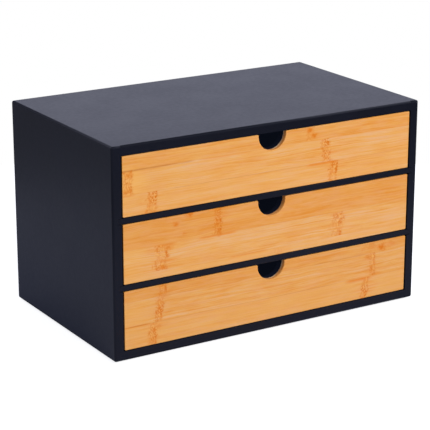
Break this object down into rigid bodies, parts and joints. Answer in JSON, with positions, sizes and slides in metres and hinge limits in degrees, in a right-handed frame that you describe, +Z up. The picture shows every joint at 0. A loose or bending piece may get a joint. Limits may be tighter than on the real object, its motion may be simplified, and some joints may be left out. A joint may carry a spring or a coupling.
{
  "type": "desktop drawer unit",
  "caption": "Low desktop drawer unit: a dark painted board case with stacked shallow drawers behind bamboo faces, each opened by a round finger notch.",
  "frame": {"origin": "on the surface that the feet stand on, midway across the case's width and depth", "axes": "+X to the right as seen from the front, along the width; +Y towards the back panel, so the drawers open along -Y; +Z up"},
  "size_m": [0.33, 0.2, 0.2],
  "materials": {
    "painted_board": "satin blue-black paint on fibreboard",
    "painted_hardboard": "satin black paint on hardboard",
    "bamboo": "caramel laminated bamboo, satin clear coat",
    "beech": "fluted dowel, unfinished",
    "steel": "zinc-plated",
    "rubber": "matt"
  },
  "bodies": {
    "case": {"left_panel": "painted_board", "right_panel": "painted_board", "top_panel": "painted_board", "bottom_panel": "painted_board", "lower_shelf": "painted_board", "upper_shelf": "painted_board", "back_panel": "painted_hardboard", "case_dowels": "beech", "back_brads": "steel", "foot_pads": "rubber"},
    "bottom_drawer": {"bottom_drawer_face": "bamboo", "bottom_drawer_box_front": "painted_board", "bottom_drawer_box_back": "painted_board", "bottom_drawer_left_side": "painted_board", "bottom_drawer_right_side": "painted_board", "bottom_drawer_base": "painted_hardboard", "bottom_drawer_brads": "steel", "bottom_drawer_face_screws": "steel"},
    "middle_drawer": {"middle_drawer_face": "bamboo", "middle_drawer_box_front": "painted_board", "middle_drawer_box_back": "painted_board", "middle_drawer_left_side": "painted_board", "middle_drawer_right_side": "painted_board", "middle_drawer_base": "painted_hardboard", "middle_drawer_brads": "steel", "middle_drawer_face_screws": "steel"},
    "top_drawer": {"top_drawer_face": "bamboo", "top_drawer_box_front": "painted_board", "top_drawer_box_back": "painted_board", "top_drawer_left_side": "painted_board", "top_drawer_right_side": "painted_board", "top_drawer_base": "painted_hardboard", "top_drawer_brads": "steel", "top_drawer_face_screws": "steel"}
  },
  "joints": [
    {"name": "bottom_drawer_slide", "type": "slide", "parent": "case", "child": "bottom_drawer", "axis": [0, -1, 0], "range_m": [0, 0.15]},
    {"name": "middle_drawer_slide", "type": "slide", "parent": "case", "child": "middle_drawer", "axis": [0, -1, 0], "range_m": [0, 0.15]},
    {"name": "top_drawer_slide", "type": "slide", "parent": "case", "child": "top_drawer", "axis": [0, -1, 0], "range_m": [0, 0.15]}
  ]
}
